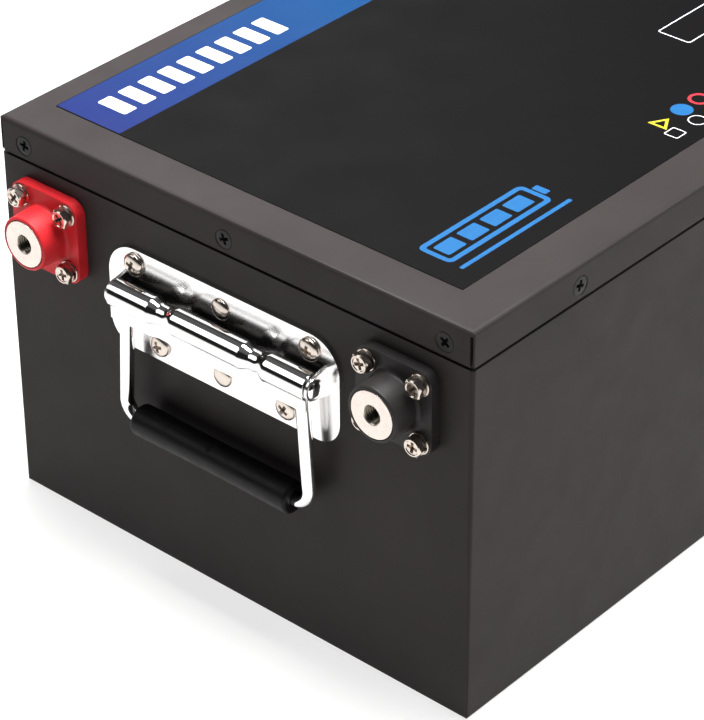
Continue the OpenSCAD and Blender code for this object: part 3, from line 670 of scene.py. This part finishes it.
LID_SCREW = lid_screw()
SCREW_SINK = 0.15 * MM
SPINS = {"front": (12, -20, 35), "back": (8, 40, -15), "left": (-30, 22, 5), "right": (18, -8, 41)}
for side, turn in (("front", 0), ("right", 90), ("back", 180), ("left", -90)):
    node = f"lid_screws_{side}"
    out = Matrix.Rotation(math.radians(turn), 4, "Z")
    face = {"front": lid_lo.y, "back": -lid_hi.y, "left": lid_lo.x, "right": -lid_hi.x}[side]
    inward = out.inverted()
    places = []
    for middle in middles(node):
        there = inward @ middle
        places.append(Vector((there.x, face + SCREW_SINK, there.z)))
    mesh = copies(LID_SCREW, places, SPINS[side])
    mesh.transform(out)
    add_piece(f"{node}_cross", mesh, "pack", "black_screw", None, (node,), 40)

# ---- label film and its print ----------------------------------------------------------------

INK_T = 0.03 * MM
BAND_W = 36.5 * MM


def flat_mark(name, bm, material, up=0.0):
    """A printed mark that lies on the film."""
    mesh = mesh_of(bm, name)
    mesh.transform(Matrix.Translation((0, 0, film_hi.z - INK_T + up)))
    return add_piece(name, mesh, "pack", "label", material)


def patch(x, y, width, length, radius, thickness=INK_T):
    """A rectangle of print with round corners, from its low left corner."""
    return slab(rounded_outline(x, y, x + width, y + length, [radius] * 4, 4), thickness)


def frame_patch(x, y, width, length, line, outer_r, inner_r, steps=4):
    """A rectangular frame of print, line wide, from its low left corner."""
    outer = rounded_outline(x, y, x + width, y + length, [outer_r] * 4, steps)
    inner = rounded_outline(x + line, y + line, x + width - line, y + length - line, [inner_r] * 4, steps)
    return ring_slab(outer, inner, INK_T)


def ring(cx, cy, outer, inner, steps=40):
    """A flat ring of print."""
    last = 360 - 360 / steps
    return ring_slab(arc(cx, cy, outer, 0, last, steps - 1), arc(cx, cy, inner, 0, last, steps - 1), INK_T)


def make_film():
    """The film itself, with the coloured band along its left edge."""
    outline = rounded_outline(film_lo.x, film_lo.y, film_hi.x, film_hi.y, [0.4 * MM] * 4)
    mesh = mesh_of(slab(outline, film_hi.z - film_lo.z - INK_T, 0.08 * MM))
    mesh.transform(Matrix.Translation((0, 0, film_lo.z)))
    add_piece("label_film_base", mesh, "pack", "label", None, ("label_film",))
    inset = 0.35 * MM
    round_r, square_r = 0.3 * MM, 0.05 * MM
    band = rounded_outline(film_lo.x + inset, film_lo.y + inset, film_lo.x + BAND_W, film_hi.y - inset,
                           [round_r, square_r, square_r, round_r])
    flat_mark("label_band", slab(band, INK_T), STRIPE)


def make_charge_bars():
    """A row of nine plain bars along the band."""
    first, pitch = 13 * MM, 11.6 * MM
    bars = bmesh.new()
    for i in range(9):
        bar = patch(film_lo.x + 11 * MM, film_lo.y + first + i * pitch, 16 * MM, 7.4 * MM, 1 * MM)
        bars.from_mesh(mesh_of(bar))
    flat_mark("label_bars", bars, WHITE_INK, INK_T * 0.5)


def make_battery_outline():
    """A generic battery drawing in line work at the terminal end of the film."""
    x0, y0 = film_hi.x - 32 * MM, film_lo.y + 11 * MM
    width, length, line = 17 * MM, 63 * MM, 2.4 * MM
    cell_l, cell_pitch, clear = 10.8 * MM, 13.9 * MM, 2 * MM
    nub_w, nub_l, nub_gap = 7 * MM, 3.6 * MM, 0.8 * MM
    bm = bmesh.new()
    bm.from_mesh(mesh_of(frame_patch(x0, y0, width, length, line, 3 * MM, 1.2 * MM, 6)))
    nub = patch(x0 + (width - nub_w) / 2, y0 + length + nub_gap, nub_w, nub_l, 0.8 * MM)
    bm.from_mesh(mesh_of(nub))
    inset = line + clear
    for i in range(4):
        cell = patch(x0 + inset, y0 + inset + i * cell_pitch, width - 2 * inset, cell_l, 0.8 * MM)
        bm.from_mesh(mesh_of(cell))
    rule = patch(x0 + width + 4 * MM, y0, 2 * MM, length + nub_gap + nub_l, 0.6 * MM)
    bm.from_mesh(mesh_of(rule))
    flat_mark("label_battery_outline", bm, BLUE_INK)


def make_plain_shapes():
    """Small plain coloured shapes near the right edge, and a white frame further back."""
    x, y = film_hi.x - 20 * MM, film_lo.y + 150 * MM
    side, disc_r = 5.6 * MM, 4.8 * MM
    outer, inner = [arc(x + 0.5 * MM, y, r, 210, 450, 2) for r in (side, side * 0.55)]
    flat_mark("label_triangle", ring_slab(outer, inner, INK_T), YELLOW_INK)
    flat_mark("label_disc", slab(arc(x, y + 15 * MM, disc_r, 0, 351, 39), INK_T), BLUE_INK)
    flat_mark("label_ring_red", ring(x, y + 27 * MM, disc_r, 3.3 * MM), RED_INK)
    flat_mark("label_ring_white", ring(x + 10 * MM, y + 12 * MM, 4 * MM, 3.5 * MM), WHITE_INK)
    square = frame_patch(x + 6 * MM, y - 6 * MM, 7 * MM, 7 * MM, 0.5 * MM, 1 * MM, 0.7 * MM)
    flat_mark("label_square_white", square, WHITE_INK)
    white_frame = frame_patch(film_lo.x + 148 * MM, film_lo.y + 214 * MM, 17 * MM, 62 * MM, 0.6 * MM,
                              1.5 * MM, 1 * MM)
    flat_mark("label_frame_white", white_frame, WHITE_INK)


make_film()
make_charge_bars()
make_battery_outline()
make_plain_shapes()

# ---- terminals -------------------------------------------------------------------------------

FLANGE_T = 5 * MM
insulator_lo, insulator_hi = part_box("insulator_negative")
FLANGE_HALF = (insulator_hi.x - insulator_lo.x) / 2
NOSE_FACE = WALL_Y - insulator_lo.y
post_lo, post_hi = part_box("post_negative")
POST_FACE = WALL_Y - post_lo.y
POST_R = (post_hi.x - post_lo.x) / 2
NOSE_R = 12 * MM


def insulator():
    """Flange with soft edges, a filleted nose with a soft rim, and a bore for the post."""
    half = FLANGE_HALF
    outline = rounded_outline(-half, -half, half, half, [6 * MM] * 4, 10)
    flange = mesh_of(slab(outline, FLANGE_T, 0.8 * MM, 3))
    foot, taper, rim = 1.6 * MM, 0.4 * MM, 0.9 * MM
    h = NOSE_FACE - FLANGE_T
    wall, bore = NOSE_R + taper, POST_R + 0.2 * MM
    profile = [(bore, -1 * MM), (wall + foot, -1 * MM)]
    profile += [(wall + foot + x, foot + y) for x, y in (polar(foot, -90 - a) for a in range(0, 100, 10))]
    profile += [(wall - taper * k / 4, foot + (h - rim - foot) * k / 4) for k in range(1, 5)]
    profile += [(NOSE_R - rim + x, h - rim + y) for x, y in (polar(rim, a) for a in (22, 45, 67, 90))]
    profile += [(bore + 0.15 * MM, h), (bore, h - 0.2 * MM), (bore, -1 * MM)]
    nose = mesh_of(lathe([(r, v + FLANGE_T) for r, v in profile], 96, "Z"))
    low, high = -2 * MM, FLANGE_T + 2 * MM
    hole = mesh_of(lathe([(0, low), (bore, low), (bore, high), (0, high)], 96, "Z"))
    mesh = boolean(boolean(flange, [hole]), [nose], "UNION")
    mesh.transform(Matrix.Rotation(math.radians(90), 4, "X"))
    return mesh


HOLE_R = 4 * MM
HOLE_DEPTH = 13.5 * MM


def post():
    """Turned post: contact face with a bevelled rim, and a plain hole that the thread lines."""
    edge, soft = 0.5 * MM, 0.15 * MM
    bottom = POST_FACE - HOLE_DEPTH - 2 * MM
    profile = [(0, edge), (POST_R, edge), (POST_R, POST_FACE - edge), (POST_R - soft, POST_FACE - soft),
               (POST_R - edge, POST_FACE), (HOLE_R + 0.6 * MM, POST_FACE),
               (HOLE_R + 0.4 * MM, POST_FACE - 0.1 * MM), (HOLE_R, POST_FACE - edge), (HOLE_R, bottom),
               (0, bottom)]
    return mesh_of(lathe(profile, 72))


def thread():
    """The thread of a post's hole, as rings of flanks, with the blind end of the hole."""
    crest, pitch, sunk = 3.4 * MM, 1.25 * MM, 0.3 * MM
    root = HOLE_R - 0.02 * MM
    level = POST_FACE - 0.5 * MM
    profile = [(HOLE_R + sunk, level - 0.1 * MM), (root, level)]
    while level > POST_FACE - HOLE_DEPTH:
        profile += [(crest, level - 0.4 * pitch), (crest, level - 0.52 * pitch),
                    (root, level - 0.9 * pitch), (root, level - pitch)]
        level -= pitch
    bottom = level - 1 * MM
    profile += [(0, level - 0.4 * MM), (0, bottom), (HOLE_R + sunk, bottom), profile[0]]
    return mesh_of(lathe(profile, 56))


def hex_screw():
    """Hexagon head with a bevelled crown, a shallow dish and a cross recess. The seat is at y = 0."""
    flats, height, crown, dish = 3.9 * MM, 2.9 * MM, 0.9 * MM, 0.45 * MM
    corner = flats / math.cos(math.radians(30))
    prism = mesh_of(slab([polar(corner, 60 * i) for i in range(6)], height))
    profile = [(0, -1 * MM), (corner + 1 * MM, -1 * MM), (corner + 0.5 * MM, height - crown - 0.25 * MM),
               (flats + 0.1 * MM, height - dish), (flats - 0.3 * MM, height), (flats - 0.75 * MM, height),
               (flats - 1.1 * MM, height - 0.35 * MM), (0, height - dish)]
    head = boolean(prism, [mesh_of(lathe(profile, 48, "Z"))], "INTERSECT")
    head.transform(Matrix.Rotation(math.radians(90), 4, "X"))
    return boolean(head, [cross_cutter(4.9 * MM, 2.3 * MM, dish - height)])


def lock_washer():
    """Split spring washer: a square wire bent through most of a turn, with its ends apart."""
    inner, outer, thick, spread = 2.65 * MM, 4.3 * MM, 0.95 * MM, 0.3 * MM
    first, sweep, steps = 8, 344, 44
    bm = bmesh.new()
    rings = []
    for i in range(steps + 1):
        a = math.radians(first + sweep * i / steps)
        lift = spread * i / steps
        rings.append([bm.verts.new((r * math.cos(a), -(y + lift), r * math.sin(a))) for r, y in
                      ((inner, 0), (outer, 0), (outer, thick), (inner, thick))])
    for low, high in zip(rings, rings[1:]):
        for k in range(4):
            bm.faces.new((low[k], low[(k + 1) % 4], high[(k + 1) % 4], high[k]))
    bm.faces.new(rings[0])
    bm.faces.new(rings[-1])
    corners = [e for e in bm.edges if e.calc_face_angle(0) > 1.0]
    bmesh.ops.bevel(bm, geom=corners, offset=0.12 * MM, segments=2, profile=0.5, affect="EDGES")
    return mesh_of(bm)


FLAT_T = 0.8 * MM


def flat_washer():
    """Punched washer with a soft rim, and a lightly broken edge round its hole."""
    hole, rim, soft, broken = 2.65 * MM, 4.8 * MM, 0.25 * MM, 0.1 * MM
    return mesh_of(lathe([(hole, 0), (rim, 0), (rim, FLAT_T - soft), (rim - soft, FLAT_T),
                          (hole + broken, FLAT_T), (hole, FLAT_T - broken), (hole, 0)], 48))


for node, slot in (("positive", "red_plastic"), ("negative", "black_plastic")):
    middle = centre(f"post_{node}")
    here = Matrix.Translation((middle.x, WALL_Y, middle.z))
    body = insulator()
    body.transform(here)
    add_piece(f"insulator_{node}_moulding", body, "pack", slot, None, (f"insulator_{node}",), 30)
    turned = post()
    turned.transform(here)
    add_piece(f"post_{node}_turned", turned, "pack", "nickel", TURNED_NICKEL, (f"post_{node}",), 30)
    lining = thread()
    lining.transform(here)
    add_piece(f"post_{node}_thread", lining, "pack", "nickel", THREAD_WITH_PAINTED_SHADE, (), 30)

WASHER_SEAT = WALL_Y - FLANGE_T
LOCK_SEAT = WASHER_SEAT - FLAT_T
LOCK_SPACE = 1.15 * MM
HEAD_SEAT = LOCK_SEAT - LOCK_SPACE
TURNS = (14, 38, -9, 52, 27, -18, 5, 44)
screw_middles = middles("terminal_flat_washers")
for name, mesh, seat in (("terminal_flat_washers", flat_washer(), WASHER_SEAT),
                         ("terminal_spring_washers", lock_washer(), LOCK_SEAT),
                         ("terminal_screws", hex_screw(), HEAD_SEAT)):
    places = [Vector((m.x, seat, m.z)) for m in screw_middles]
    add_piece(f"{name}_detail", copies(mesh, places, TURNS), "pack", "nickel", None, (name,), 30)

# ---- handles ---------------------------------------------------------------------------------

PLATE_T = 1.5 * MM
BARREL_HALF = leaf_hi.x
BULGE_R = PIN.y - leaf_lo.y
NECK_R = 4.65 * MM
NECK_X = 25 * MM
NECK_FLAT = 1.6 * MM
NECK_TAPER = 5.5 * MM
LEAF_T = 1.2 * MM
ROD_R = (bail_hi.y - bail_lo.y) / 2
ROD_Y = (bail_hi.y + bail_lo.y) / 2
GRIP_R = (grip_hi.z - grip_lo.z) / 2
GRIP_Z = (grip_hi.z + grip_lo.z) / 2


def barrel_radius(x):
    """Outer radius of the rolled barrel, with a soft step at each side of a neck."""
    d = abs(abs(x) - NECK_X)
    t = min(1, max(0, (d - NECK_FLAT) / NECK_TAPER))
    return NECK_R + (BULGE_R - NECK_R) * t * t * (3 - 2 * t)


def leaf_section(x):
    """Outer line of the rolled sheet at x: over the pin, then an S-bend into the flange."""
    r = barrel_radius(x)
    drop = 0.75 * (BULGE_R - r)
    flange_y = ROD_Y - ROD_R - LEAF_T + drop
    wrap = 125
    line = []
    for i in range(31):
        up, ahead = polar(r, -wrap + 2 * wrap * i / 30)
        line.append((PIN.y - ahead, PIN.z + up))
    last = Vector(line[-1])
    low = Vector((flange_y, leaf_lo.z))
    knee = Vector((flange_y, min(last.y - 0.8 * MM, leaf_lo.z + 4.6 * MM)))
    bend = Vector((flange_y - 0.1 * MM, last.y - 0.4 * MM))
    for k in range(1, 6):
        t = k / 6
        line.append(tuple((1 - t) ** 2 * last + 2 * t * (1 - t) * bend + t * t * knee))
    for k in range(5):
        line.append(tuple(knee.lerp(low, k / 4)))
    return line


def hinge_leaf():
    """Rolled sheet with wide parts, two necks and a flange that hides the top of the bail."""
    k = NECK_FLAT + NECK_TAPER
    xs = {-BARREL_HALF, BARREL_HALF, 0.0}
    xs |= {c + k * i / 12 for c in (-NECK_X, NECK_X) for i in range(-12, 13)}
    plain_parts = (6, 12, 36, 42, 48)
    xs |= {side * x * MM for side in (-1, 1) for x in plain_parts}
    bm = bmesh.new()
    grid = [[bm.verts.new((x, y, z)) for y, z in leaf_section(x)] for x in sorted(xs)]
    for a, b in zip(grid, grid[1:]):
        for i in range(len(a) - 1):
            bm.faces.new((a[i], b[i], b[i + 1], a[i + 1]))
    bmesh.ops.recalc_face_normals(bm, faces=bm.faces)
    top = max(bm.faces, key=lambda f: f.calc_center_median().z)
    if top.normal.z < 0:
        bmesh.ops.reverse_faces(bm, faces=bm.faces)
    mesh = bpy.data.meshes.new("leaf")
    bm.to_mesh(mesh)
    bm.free()
    thicken = {"thickness": LEAF_T, "offset": -1.0, "use_even_offset": True}
    soften = {"width": 0.28 * MM, "segments": 3, "limit_method": "ANGLE", "angle_limit": math.radians(60)}
    return with_modifiers(mesh, ("SOLIDIFY", thicken), ("BEVEL", soften))


def bail():
    """One bent rod: down one leg, round a bend, through the grip and up again."""
    leg_top_x, bend = 47.6 * MM, 7.5 * MM
    top = Vector((centre("bail_rod_front").x + leg_top_x, ROD_Y, PIN.z - NECK_R))
    low = Vector((bail_hi.x - ROD_R, ROD_Y, GRIP_Z + bend))
    right = [top.lerp(low, k / 10) for k in range(11)]
    for k in range(1, 13):
        aside, down = polar(bend, 90 * k / 12)
        right.append(Vector((low.x - bend + aside, ROD_Y, low.z - down)))
    left = [Vector((-p.x, p.y, p.z)) for p in reversed(right)]
    return mesh_of(tube(right + [Vector((0, ROD_Y, GRIP_Z))] + left, ROD_R, 32))


def grip():
    """Rubber sleeve with soft ends, a hole round the rod at each end and a faint waist."""
    half = (grip_hi.x - grip_lo.x) / 2
    soft, waist, plain = 1.5 * MM, 0.12 * MM, 4 * MM
    ends = [(ROD_R + 0.05 * MM, half - 1.4 * MM), (ROD_R + 0.3 * MM, half - 0.2 * MM),
            (ROD_R + 0.9 * MM, half)]
    turns = [polar(soft, a) for a in range(0, 91, 18)]
    ends += [(GRIP_R - soft + up, half - soft + out) for out, up in turns]
    body = [(GRIP_R - waist * (1 - math.cos(math.pi * k / 12)), half - plain - (half - plain) * k / 12)
            for k in range(13)]
    first = ends + body
    profile = first + [(r, -x) for r, x in reversed(first)]
    profile.append(profile[0])
    mesh = mesh_of(lathe(profile, 64, "X"))
    mesh.transform(Matrix.Translation((centre("grip_front").x, ROD_Y, GRIP_Z)))
    return mesh


def base_plate():
    """Pressed plate with soft edges, and two ears that carry the pin."""
    low_r, top_r = 12 * MM, 15 * MM
    radii = [low_r, low_r, top_r, top_r]
    outline = rounded_outline(plate_lo.x, plate_lo.z, plate_hi.x, plate_hi.z, radii, 14)
    plate = mesh_of(slab(outline, PLATE_T, 0.6 * MM, 4))
    plate.transform(Matrix.Translation((0, WALL_Y, 0)) @ Matrix.Rotation(math.radians(90), 4, "X"))
    parts = [plate]
    ear_t, ear_r, foot_half, gap = 1.6 * MM, 5.2 * MM, 7 * MM, 0.3 * MM
    pin_out = WALL_Y - PIN.y
    shoulder = pin_out - 2 * MM
    ear = arc(pin_out, PIN.z, ear_r, -90, 90, 14)
    ear += [(shoulder, PIN.z + ear_r), (1 * MM, PIN.z + foot_half), (1 * MM, PIN.z - foot_half),
            (shoulder, PIN.z - ear_r)]
    for x in (-BARREL_HALF - gap - ear_t, BARREL_HALF + gap):
        mesh = mesh_of(slab(ear, ear_t, 0.3 * MM, 2))
        mesh.transform(Matrix(((0, 0, 1, x), (-1, 0, 0, WALL_Y), (0, 1, 0, 0), (0, 0, 0, 1))))
        parts.append(mesh)
    return joined(parts)


def dome_screw():
    """Pan head with a domed crown and a cross recess. The seat is at y = 0."""
    r, h, side = 5.15 * MM, 2.6 * MM, 0.75 * MM
    profile = [(0, 0), (r - 0.1 * MM, 0), (r, 0.2 * MM), (r, side)]
    for a in (12, 24, 36, 48, 60, 70, 80):
        profile.append((r * polar(1, a)[0] ** 0.75, side + polar(h - side, a)[1]))
    profile.append((0, h))
    return boolean(mesh_of(lathe(profile, 64)), [cross_cutter(5.3 * MM, 2.3 * MM, -h)])


def dome_rivet():
    """Low round rivet head."""
    r, h, side = 4.75 * MM, 2.0 * MM, 0.25 * MM
    dome = [(polar(r, a)[0], side + polar(h - side, a)[1]) for a in range(0, 90, 10)]
    return mesh_of(lathe([(0, 0), (r, 0)] + dome + [(0, h)], 56))


def make_handle(end):
    """Every visible piece of one handle."""
    moving = f"bail_{end}"
    for node, suffix, mesh, body, slot, material, sharp in (
            ("handle_plate", "pressed", base_plate(), "pack", "chrome", SATIN_CHROME, 32),
            ("hinge_leaf", "rolled", hinge_leaf(), moving, "chrome", LEAF_CHROME, 50),
            ("bail_rod", "bent", bail(), moving, "chrome", None, 50),
            ("grip", "sleeve", grip(), moving, "rubber", None, 50)):
        name = f"{node}_{end}"
        add_piece(f"{name}_{suffix}", to_end(mesh, end), body, slot, material, (name,), sharp)
    seat = WALL_Y - PLATE_T
    flip = -1 if end == "back" else 1
    for kind, mesh, turns in (("screws", dome_screw(), (20, -12, 33, 5)), ("rivets", dome_rivet(), (0,))):
        name = f"handle_{kind}_{end}"
        places = [Vector((flip * m.x, seat, m.z)) for m in middles(name)]
        domed = to_end(copies(mesh, places, turns), end)
        add_piece(f"{name}_domed", domed, "pack", "nickel", None, (name,), 35)
    name = f"hinge_pin_{end}"
    add_piece(f"{name}_rod", welded(name), "pack", "chrome", None, (name,), 25)


for end in ("front", "back"):
    make_handle(end)

# ---- the nodes that keep their CAD shape -----------------------------------------------------

slots = {s["node"]: s["material_slot"] for s in record["subparts"]}
for name, obj in nodes.items():
    if not obj.hide_render:
        obj.data.materials.clear()
        obj.data.materials.append(LOOKS[slots[name]])


def plain(box):
    """A box as lists of numbers."""
    return [[float(v) for v in corner] for corner in box]
